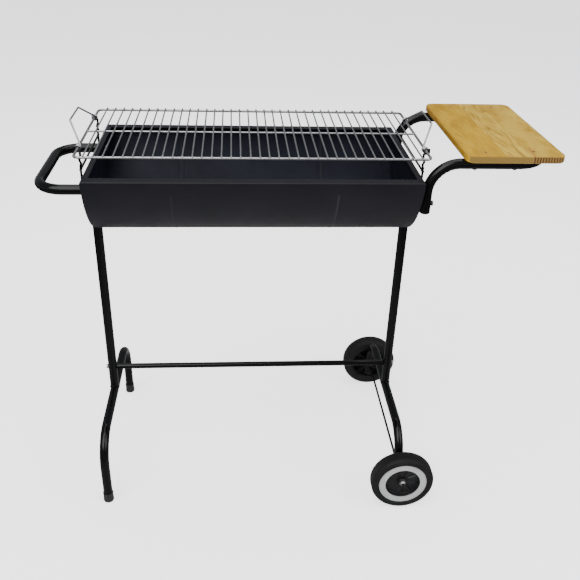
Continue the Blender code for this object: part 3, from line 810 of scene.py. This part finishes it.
def uprights():
    for name, x in TUBE_X.items():
        # the foot of the tube runs a little into the foot tube, as its saddle cut does
        path = straight((x, 0, FOOT_Z + TUBE_R * 0.55), (x, 0, high("upright_" + name).z))
        add("upright_" + name, hollow(path), "tube_paint")
        weld = weld_ring(Vector((x, 0, FOOT_Z)))
        add("weld_upright_" + name, weld, "tube_paint", replaced=())


def weld_ring(centre):
    """The bead where a vertical tube is welded onto a tube that runs along Y."""
    path = []
    steps = 64
    reach = TUBE_R + 0.0006
    for step in range(steps):
        angle = 2 * math.pi * step / steps
        x = reach * math.cos(angle)
        y = reach * math.sin(angle)
        z = math.sqrt(max((TUBE_R + 0.0004) ** 2 - (x * 0.94) ** 2, 0.0))
        path.append((centre + Vector((x, y, z)), UNBENT))
    bm = sweep(path, 0.0014, 8, closed=True)
    rng = random.Random(4)
    for vert in bm.verts:
        vert.co += Vector((rng.uniform(-1, 1), rng.uniform(-1, 1), rng.uniform(-1, 1))) * 0.00012
    return bm


def feet():
    for name, x in TUBE_X.items():
        end_z = low("foot_tube_" + name).z
        corners = [(x, -FOOT_Y, end_z), (x, -FOOT_Y, FOOT_Z), (x, FOOT_Y, FOOT_Z),
                   (x, FOOT_Y, end_z)]
        bent_tube("foot_tube_" + name, corners, FOOT_BEND_R, 40, 0.00035)
    for end in ("front", "back"):
        node = "foot_cap_" + end
        radius = (high(node).x - low(node).x) / 2
        top = high(node).z
        inner = TUBE_R + HIDE
        profile = [(0, 0.0), (radius - 0.0045, 0.0), (radius - 0.0042, 0.0004),
                   (radius - 0.0022, 0.0004), (radius - 0.0006, 0.0016), (radius, 0.0036),
                   (radius, 0.0070), (radius - 0.0005, 0.0074), (radius - 0.0005, top - 0.0035),
                   (radius - 0.0002, top - 0.0030), (radius - 0.0002, top - 0.0006),
                   (radius - 0.0008, top), (inner, top), (inner, 0.003), (0, 0.003)]
        add(node, turned(profile, 48), "black_plastic", origin=(middle(node).x, middle(node).y, 0))


def stretcher():
    node = "stretcher"
    radius = (high(node).z - low(node).z) / 2
    z = middle(node).z
    path = straight((low(node).x, 0, z), (high(node).x, 0, z))
    add(node, sweep(path, radius, 28, bore=0.0034), "tube_paint")


def push_handle():
    node = "push_handle"
    z = middle(node).z
    start_x = high(node).x
    end_x = low(node).x + TUBE_R
    corners = [(start_x, -HANDLE_Y, z), (end_x, -HANDLE_Y, z), (end_x, HANDLE_Y, z),
               (start_x, HANDLE_Y, z)]
    bent_tube(node, corners, HANDLE_BEND_R, 36, 0.00030)


def shelf_bracket():
    node = "shelf_bracket"
    x = middle("bracket_plug_front").x
    far = high(node).x - TUBE_R * CAD_SHRINK
    z = high(node).z - TUBE_R * CAD_SHRINK
    foot = low(node).z
    y = BRACKET_Y
    corners = [(x, -y, foot), (x, -y, z), (far, -y, z), (far, y, z), (x, y, z), (x, y, foot)]
    bent_tube(node, corners, BRACKET_BEND_R, 36, 0.00035)


def tube_plugs():
    """Ribbed plastic plugs with a domed head in every open tube end."""
    plugs = [("upright_plug_" + name, 1) for name, sign in SIDES]
    plugs += [(kind + end, -1) for kind in ("bracket_plug_", "axle_plug_")
              for end in ("front", "back")]
    for node, sign in plugs:
        length = high(node).z - low(node).z
        base = low(node).z if sign > 0 else high(node).z
        inner = TUBE_R - TUBE_WALL - HIDE
        head = length - 0.002
        profile = [(0, 0.001), (inner - 0.0012, 0.001), (inner - 0.0010, 0.0)]
        for rib in range(3):
            z = 0.0012 + rib * (head - 0.002) / 3
            profile += [(inner, z), (inner, z + 0.0008), (inner - 0.0010, z + 0.0012)]
        profile += [(inner - 0.0010, head), (TUBE_R, head), (TUBE_R, head + 0.0008),
                    (TUBE_R - 0.0006, head + 0.0016), (TUBE_R - 0.003, length - 0.0001),
                    (0, length)]
        bm = turned(profile, 40)
        if sign < 0:
            moved(bm, Matrix.Rotation(math.pi, 4, "X"))
        add(node, bm, "black_plastic", origin=(middle(node).x, middle(node).y, base))


# ---- shelf board

def shelf_board():
    node = "shelf_board"
    lowest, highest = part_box(node)
    centre = (lowest + highest) / 2
    half_x = highest.x - centre.x
    half_y = highest.y - centre.y
    corner_r = 0.020
    edge = 0.0032

    def ring(inset, z):
        points = []
        radius = corner_r - inset
        for turn, (sx, sy) in enumerate(((1, 1), (-1, 1), (-1, -1), (1, -1))):
            for step in range(15):
                angle = math.pi / 2 * (turn + step / 14)
                points.append((centre.x + sx * (half_x - corner_r) + radius * math.cos(angle),
                               centre.y + sy * (half_y - corner_r) + radius * math.sin(angle), z))
        return points

    levels = [(edge * (1 - sine), lowest.z + edge * (1 - cosine)) for sine, cosine in quarter(6)]
    levels += [(edge * (1 - cosine), highest.z - edge * (1 - sine)) for sine, cosine in quarter(6)]
    bm = bmesh.new()
    rows = [[bm.verts.new(point) for point in ring(inset, z)] for inset, z in levels]
    bridge(bm, rows, caps=True)
    add(node, bm, "pine_board")


# ---- fasteners

def hex_head(flat_r, height):
    """A hexagon head with a washer face and a chamfered, slightly domed top."""
    corner = flat_r / math.cos(math.pi / 6)
    profile = [(flat_r * 0.92, 0.0), (flat_r * 0.92, height * 0.10), (corner, height * 0.12),
               (corner, height * 0.80), (flat_r * 1.02, height * 0.97), (flat_r * 0.70, height),
               (0, height)]
    return turned([(0, 0.0)] + profile, 48, shape=six_sided(flat_r))


def nut(flat_r, height, bore):
    corner = flat_r / math.cos(math.pi / 6)
    profile = [(bore, 0.0), (flat_r * 1.0, 0.0), (corner, height * 0.14), (corner, height * 0.86),
               (flat_r * 1.0, height), (bore * 1.15, height), (bore, height * 0.9)]
    return turned(profile, 48, ring=True, shape=six_sided(flat_r))


def threaded_end(radius, length):
    """The end of a bolt, with thread rings and a chamfer."""
    profile = [(0, 0.0)]
    pitch = 0.0008
    turns = int(length / pitch) - 1
    for index in range(turns):
        profile += [(radius - 0.00035, index * pitch), (radius, (index + 0.5) * pitch)]
    profile += [(radius - 0.0004, turns * pitch), (radius - 0.0009, length), (0, length)]
    return turned(profile, 24)


def fasten(node, outward, head, depth, shank_r=SHANK_R, tail=0.0, nut_r=0.0, nut_height=0.0):
    """A head seated at a depth below the node's outer end, and its shank.

    With a tail, a nut and the thread's end stand inside, that far from the inner end.
    """
    lowest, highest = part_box(node)
    centre = (lowest + highest) / 2
    outward = Vector(outward)
    half = abs((highest - lowest).dot(outward)) / 2
    seat = centre + outward * (half - depth)
    inside = centre - outward * (half - tail)
    bm = moved(head, along(outward, seat))
    merge(bm, rod(seat, inside, shank_r))
    if tail:
        merge(bm, nut(nut_r, nut_height, NUT_BORE), along(-outward, inside))
        merge(bm, threaded_end(shank_r, tail), along(-outward, inside))
    bolt = add(node, bm, "zinc_fasteners")
    if tail:
        line_inside(bolt, "sooty_zinc")
    return bolt


def hex_bolts():
    flat_r = 0.005
    height = 0.004
    for name, sign in SIDES:
        for level in ("lower", "upper"):
            fasten("upright_bolt_%s_%s" % (name, level), (sign, 0, 0), hex_head(flat_r, height),
                   height, tail=0.005, nut_r=flat_r, nut_height=0.004)
    for end in ("front", "back"):
        bolt = fasten("bracket_bolt_" + end, (1, 0, 0), hex_head(flat_r, height), height,
                      tail=0.005, nut_r=flat_r, nut_height=0.004)
        bolt.data.materials[0] = MATERIALS["sooty_zinc"]
    for name, sign in SIDES:
        fasten("stretcher_bolt_" + name, (sign, 0, 0), hex_head(flat_r, height), height)


def dome_head(radius, height):
    """A pan head with a cross recess pressed into it."""
    profile = [(0, 0.0), (radius * 0.98, 0.0), (radius, height * 0.18)]
    for step in range(1, 8):
        angle = math.pi / 2 * step / 8
        profile.append((radius * math.cos(angle), height * (0.25 + 0.75 * math.sin(angle))))
    for part in (0.30, 0.22, 0.12):
        profile.append((radius * part, height * (0.97 + 0.05 * (0.3 - part))))

    def recess(r, z, angle):
        across = min(abs(math.sin(angle)), abs(math.cos(angle)))
        if z > height * 0.6 and r < radius * 0.62 and across * r < radius * 0.14:
            return r, z - height * 0.45
        return r, z

    profile.append((0, height * 0.5))
    return turned(profile, 48, shape=recess)


def screws():
    for name, sign in SIDES:
        for end in ("front", "back"):
            fasten("rack_screw_%s_%s" % (name, end), (sign, 0, 0), dome_head(0.005, 0.0025),
                   0.0025, tail=0.004, nut_r=0.0047, nut_height=0.0032)
    for end in ("front", "back"):
        fasten("handle_bolt_" + end, (1, 0, 0), dome_head(0.007, 0.003), 0.003)
        for row in ("inner", "outer"):
            fasten("shelf_screw_%s_%s" % (end, row), (0, 0, -1), dome_head(0.0042, 0.0014),
                   0.003, shank_r=0.0019)


# ---- racks, grate and its handles

def racks():
    """Bent-wire rack at each end: notched posts, a bar and screwed tabs."""
    rack_x = 0.0100
    notch = 0.002
    hook = 0.0085
    hook_rise = 0.009
    gap = 0.0003
    tab_half = 0.0065
    tab_height = 0.022
    tab_face = 0.0025
    bead_half = 0.003
    hook_z = GRATE_Z - FRAME_WIRE_R - RACK_WIRE_R - gap
    foot = gap + RACK_WIRE_R
    bar_z = RIM_Z - 0.002
    profile = [(foot, bar_z - 0.047), (foot, bar_z - 0.035), (rack_x, bar_z - 0.025),
               (rack_x, bar_z + 0.007), (rack_x - notch, bar_z + 0.0135),
               (rack_x + notch / 2, bar_z + 0.021), (rack_x - notch, bar_z + 0.0285),
               (rack_x - notch, hook_z), (rack_x + hook, hook_z),
               (rack_x + hook, hook_z + hook_rise)]
    for name, sign in SIDES:
        node = "height_rack_" + name
        plate = PLATE_X[name]
        bar_x = plate + sign * rack_x
        tab_low = low(node).z
        tab = softened([(-tab_half, tab_low), (tab_half, tab_low),
                        (tab_half, tab_low + tab_height), (-tab_half, tab_low + tab_height)],
                       0.005, 6, closed=True)
        bm = rod((bar_x, -RACK_Y, bar_z), (bar_x, RACK_Y, bar_z), RACK_WIRE_R * 0.98)
        for end, direction in ENDS:
            y = direction * RACK_Y
            corners = [(plate + sign * x, y, z) for x, z in profile]
            merge(bm, sweep(rounded(corners, 0.0028, 6), RACK_WIRE_R, 16, tips=True))
            screw_y = middle("rack_screw_%s_%s" % (name, end)).y
            faces = [[bm.verts.new((plate + sign * off, screw_y + dy, z)) for dy, z in tab]
                     for off in (gap, tab_face)]
            bridge(bm, faces, caps=True)
            merge(bm, rod((bar_x, y - bead_half, bar_z), (bar_x, y + bead_half, bar_z),
                          RACK_WIRE_R + 0.0005, 12, tips=True))
        add(node, bm, "tube_paint")


def cooking_grate():
    """Frame wire, middle wire and cross wires, with the flats and beads of their welds."""
    rng = random.Random(11)
    corner_r = 0.011
    span = 0.3415
    overhang = 0.002
    flat = 0.0006
    x = GRATE_HALF
    y = GRATE_Y
    corners = [(CENTRE_X - x, -y, GRATE_Z), (CENTRE_X + x, -y, GRATE_Z),
               (CENTRE_X + x, y, GRATE_Z), (CENTRE_X - x, y, GRATE_Z)]
    bm = sweep(rounded(corners, corner_r, 12, closed=True), FRAME_WIRE_R, 18, closed=True)
    mid_z = GRATE_Z + FRAME_WIRE_R - MID_WIRE_R
    merge(bm, rod((CENTRE_X - x, 0, mid_z), (CENTRE_X + x, 0, mid_z), MID_WIRE_R))
    cross_z = GRATE_Z + FRAME_WIRE_R + CROSS_WIRE_R - flat
    spacing = 2 * span / (CROSS_WIRES - 1)
    bead = bmesh.new()
    bmesh.ops.create_uvsphere(bead, u_segments=10, v_segments=6, radius=1.0)
    bmesh.ops.scale(bead, verts=bead.verts, vec=(0.0026, 0.0021, 0.0011))
    for index in range(CROSS_WIRES):
        wire_x = CENTRE_X - span + index * spacing + rng.uniform(-0.0004, 0.0004)
        lean = rng.uniform(-0.0005, 0.0005)
        sag = rng.uniform(0.0, 0.0003)
        path = []
        for part in (-1.0, -0.5, 0.0, 0.5, 1.0):
            bow = 1 - part ** 2
            path.append((Vector((wire_x + lean * part, (y + overhang) * part,
                                 cross_z - sag * bow * 0.3)), UNBENT))
        merge(bm, sweep(path, CROSS_WIRE_R, 12, tips=True))
        for weld_y in (-y, 0.0, y):
            at = (wire_x + lean * weld_y / y, weld_y, GRATE_Z + FRAME_WIRE_R - 0.0001)
            turn = Matrix.Rotation(rng.uniform(-0.2, 0.2), 4, "Z")
            merge(bm, bead.copy(), Matrix.Translation(at) @ turn)
    bead.free()
    add("cooking_grate", bm, "chrome_wire", body="grate")


def grate_handles():
    """Sprung wire bails: two turns round the frame wire at each foot."""
    pitch = 0.0041
    coil_y = -0.1007
    grip_y = -0.047
    turns = 2
    steps = 28
    count = steps * turns
    coil_r = FRAME_WIRE_R + 0.0004 + LIFT_WIRE_R
    for name, sign in SIDES:
        node = "grate_handle_" + name
        pivot = Vector(JOINTS["handle_%s_swing" % name]["pos_m"])
        top_z = high(node).z - LIFT_WIRE_R - pivot.z
        edge = low(node).x if sign < 0 else high(node).x
        lean_x = abs(edge - pivot.x) - LIFT_WIRE_R * 0.9
        lean = math.atan2(lean_x, top_z) + math.asin(coil_r / math.hypot(lean_x, top_z))
        points = []
        for left in range(count, -1, -1):
            angle = lean - 2 * math.pi * left / steps
            points.append((Vector((-sign * coil_r * math.cos(angle),
                                   coil_y - pitch * left / steps,
                                   coil_r * math.sin(angle))), UNBENT))
        corner = Vector((sign * lean_x, grip_y, top_z))
        centre = Vector((sign * lean_x, 0, top_z))
        points += rounded([points[-1][0], corner, centre], 0.006, 10)[1:-1]
        points += [(Vector((p.x, -p.y, p.z)), UNBENT) for p, _ in reversed(points)]
        bm = sweep(points, LIFT_WIRE_R, 16, tips=True)
        add(node, bm, "chrome_wire", body="handle_" + name, origin=pivot)


# ---- axle and wheels

def on_axle(node, direction, profile, slot, segments=48):
    """A ring about the axle; its heights run outward from the node's face near the wheel."""
    near = low(node).y if direction > 0 else high(node).y
    bm = moved(turned(profile, segments, ring=True), along((0, direction, 0)))
    add(node, bm, slot, origin=(AXLE.x, near, AXLE.z))


def sleeve(bore, radius, length, softening):
    corners = [(bore, 0.0), (radius, 0.0), (radius, length), (bore, length)]
    return softened(corners, softening, 3, closed=True)


def axle():
    half = high("axle").y
    bm = rod((AXLE.x, -half, AXLE.z), (AXLE.x, half, AXLE.z), AXLE_R, 28)
    ends = [edge for edge in bm.edges
            if len(edge.link_faces) == 2
            and abs(edge.verts[0].co.y - edge.verts[1].co.y) < 1e-6]
    bmesh.ops.bevel(bm, geom=ends, offset=0.0006, segments=2, affect="EDGES")
    add("axle", bm, "axle_steel")
    for end, direction in ENDS:
        on_axle("wheel_washer_" + end, direction, sleeve(0.0032, 0.0078, 0.0010, 0.0003),
                "zinc_fasteners")
        node = "axle_nut_" + end
        length = high(node).y - low(node).y
        profile = [(0.0032, 0.0), (0.0069, 0.0), (0.0072, 0.0004), (0.0070, 0.0010),
                   (0.0058, 0.0016), (0.0052, 0.0024), (0.0048, length - 0.0006),
                   (0.0042, length), (0.0034, length), (0.0032, length - 0.0006)]
        on_axle(node, direction, profile, "zinc_fasteners")
        node = "wheel_spacer_" + end
        length = high(node).y - low(node).y
        on_axle(node, direction, sleeve(0.0033, 0.0070, length, 0.0005), "black_plastic", 40)


def wheel(end, direction):
    """Tyre, ring and hub about the axle, outer face away from the cart."""
    tyre_low, tyre_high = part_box("tyre_" + end)
    inner = min(abs(tyre_low.y), abs(tyre_high.y))
    outer = max(abs(tyre_low.y), abs(tyre_high.y))
    ring_low, ring_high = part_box("trim_ring_" + end)
    crown = outer - inner
    width = max(abs(ring_low.y), abs(ring_high.y)) - inner
    seat = 0.052
    ring_in = 0.0432
    ring_out = 0.0592
    pivot = Vector((AXLE.x, direction * inner, AXLE.z))
    turn = along((0, direction, 0))
    body = "wheel_" + end

    shoulder = 0.0120
    tyre = [(seat + HIDE, 0.003), (seat + 0.002, 0.0006), (seat + 0.0045, 0.0)]
    flank = WHEEL_R - shoulder
    tyre += [(flank + shoulder * sine, shoulder * (1 - cosine)) for sine, cosine in quarter(12)]
    tyre += [(flank + shoulder * cosine, crown - shoulder * (1 - sine))
             for sine, cosine in quarter(12)]
    tyre += [(ring_out + 0.0034, crown - 0.0006), (ring_out + 0.0014, width + 0.0010),
             (ring_out + 0.0003, width - 0.0020), (ring_out - 0.002, width - 0.0042),
             (seat + HIDE, width - 0.0042)]
    bm = moved(turned(tyre, 96, ring=True), turn)
    add("tyre_" + end, bm, "tyre_rubber", body=body, origin=pivot)

    base = width - 0.0021
    ring = [(ring_in, base), (ring_out, base), (ring_out, width - 0.0009),
            (ring_out - 0.0006, width - 0.0003), (ring_out - 0.0016, width - 0.0001),
            ((ring_in + ring_out) / 2, width), (ring_in + 0.0016, width - 0.0001),
            (ring_in + 0.0006, width - 0.0003), (ring_in, width - 0.0009)]
    bm = moved(turned(ring, 96, ring=True), turn)
    add("trim_ring_" + end, bm, "ring_plastic", body=body, origin=pivot)

    face = width - 0.0022
    web = width - 0.0125
    back = web - 0.003
    vanes = 9

    def fan(radius, height, angle):
        """Shallow ramps, one per vane, in the hub's front face."""
        if height < web - 0.0001 or radius > ring_in - 0.0008 or radius < 0.0125:
            return radius, height
        part = (angle * vanes / (2 * math.pi) + radius * 6.0) % 1.0
        rise = 0.0034 * (part ** 1.2 if part < 0.9 else (1 - part) * 8.8)
        fade = min(1.0, (radius - 0.012) / 0.006, (ring_in - radius) / 0.004)
        return radius, height + rise * max(fade, 0.0)

    hub = [(0.0031, 0.001), (0.0100, 0.001), (0.0110, 0.002), (0.0120, back - 0.001),
           (0.0130, back), (seat - 0.004, back), (seat - 0.003, back - 0.001),
           (seat - 0.002, 0.003), (seat - 0.0015, 0.002), (seat, 0.002), (seat, face - 0.0022),
           (ring_out, face - 0.0022), (ring_out, face), (ring_in, face),
           (ring_in - 0.0006, face - 0.001), (ring_in - 0.0016, web + 0.0015)]
    steps = 14
    web_out = ring_in - 0.0028
    web_in = 0.0128
    for step in range(steps + 1):
        hub.append((web_out - (web_out - web_in) * step / steps, web))
    hub += [(0.0122, web + 0.0006), (0.0112, width - 0.0062), (0.0100, width - 0.0048),
            (0.0031, width - 0.0048)]
    bm = turned(hub, 180, ring=True, shape=fan)
    ribs = 8
    rib_in = 0.0105
    rib_out = seat - 0.003
    rib_height = back - 0.0035
    for index in range(ribs):
        rib = bmesh.new()
        bmesh.ops.create_cube(rib, size=1.0)
        bmesh.ops.scale(rib, verts=rib.verts, vec=(rib_out - rib_in, 0.0018, rib_height))
        bmesh.ops.bevel(rib, geom=list(rib.edges), offset=0.0005, segments=2, affect="EDGES")
        centre = ((rib_out + rib_in) / 2, 0, 0.0040 + rib_height / 2)
        spin = Matrix.Rotation(2 * math.pi * index / ribs, 4, "Z")
        merge(bm, rib, spin @ Matrix.Translation(centre))
    moved(bm, turn)
    add("wheel_hub_" + end, bm, "hub_plastic", body=body, origin=pivot, sharp=28)


# ---- floor, light and camera

def set_floor():
    bm = bmesh.new()
    half = 30.0
    bm.faces.new([bm.verts.new((x, y, 0)) for x, y in
                  ((-half, -half), (half, -half), (half, half), (-half, half))])
    p = Paint("pale_floor")
    p.set(Base_Color=(0.90, 0.90, 0.90), Roughness=0.9, Specular_IOR_Level=0.1,
          Emission_Color=(1.0, 1.0, 1.0), Emission_Strength=1.7)
    floor = new_object("floor", bm, p.mat)


def set_flag():
    """Cloth on the floor, seen in reflections only, pale at the middle and dark farther out: a
    painted pool of light that keeps black paint black.
    """
    reach = 14.0
    above = 0.0012
    under = 0.0010
    bm = turned([(0, above), (3.0, above), (reach, above), (reach, under), (0, under)], 96)
    p = Paint("flag_cloth")
    where = p.split(p.place())
    radius = p.length(where[0], where[1])
    # painted pool of light: pale near the middle, dark beyond about 1.5 m
    p.set(Base_Color=p.ramp(p.math("DIVIDE", radius, 2.0), (0.15, 0.34), (0.75, 0.02)),
          Roughness=1.0)
    flag = new_object("flag", bm, p.mat)
    for ray in ("camera", "diffuse", "shadow", "transmission"):
        setattr(flag, "visible_" + ray, False)


def set_lights():
    world = bpy.data.worlds.new("studio")
    world.use_nodes = True
    background = world.node_tree.nodes["Background"]
    background.inputs["Color"].default_value = (0.93, 0.96, 1.0, 1)
    background.inputs["Strength"].default_value = 0.30
    bpy.context.scene.world = world
    lamps = (("key", (-1.6, -2.0, 3.4), 3.2, 150.0), ("fill", (2.6, -1.6, 2.6), 2.6, 70.0),
             ("top", (0.0, 0.6, 3.8), 3.0, 80.0))
    for name, place, size, power in lamps:
        light = bpy.data.lights.new(name, "AREA")
        light.energy = power
        light.size = size
        lamp = bpy.data.objects.new(name, light)
        bpy.context.collection.objects.link(lamp)
        lamp.location = place
        aim = Vector((CENTRE_X, 0, 0.5)) - Vector(place)
        lamp.rotation_euler = aim.to_track_quat("-Z", "Y").to_euler()


def set_camera():
    yaw = math.radians(4.93)
    pitch = math.radians(29.721)
    roll = math.radians(2.055)
    forward = Vector((math.sin(yaw) * math.cos(pitch), math.cos(yaw) * math.cos(pitch),
                      -math.sin(pitch)))
    level = Vector((math.cos(yaw), -math.sin(yaw), 0))
    upward = level.cross(forward)
    right = level * math.cos(roll) + upward * math.sin(roll)
    above = upward * math.cos(roll) - level * math.sin(roll)
    data = bpy.data.cameras.new("camera")
    data.sensor_width = 36.0
    data.lens = 45.51
    camera = bpy.data.objects.new("camera", data)
    bpy.context.collection.objects.link(camera)
    basis = Matrix((right, above, -forward)).transposed().to_4x4()
    camera.matrix_world = Matrix.Translation((CENTRE_X - 0.0428, -1.582, 1.3808)) @ basis
    bpy.context.scene.camera = camera


# ---- build

trough_shell()
for side_name, side_sign in SIDES:
    end_plate(side_name, side_sign)
    stiffener(side_name)
uprights()
feet()
stretcher()
push_handle()
shelf_bracket()
tube_plugs()
shelf_board()
hex_bolts()
screws()
racks()
cooking_grate()
grate_handles()
axle()
for end_name, end_sign in ENDS:
    wheel(end_name, end_sign)
set_floor()
set_flag()
set_lights()
set_camera()
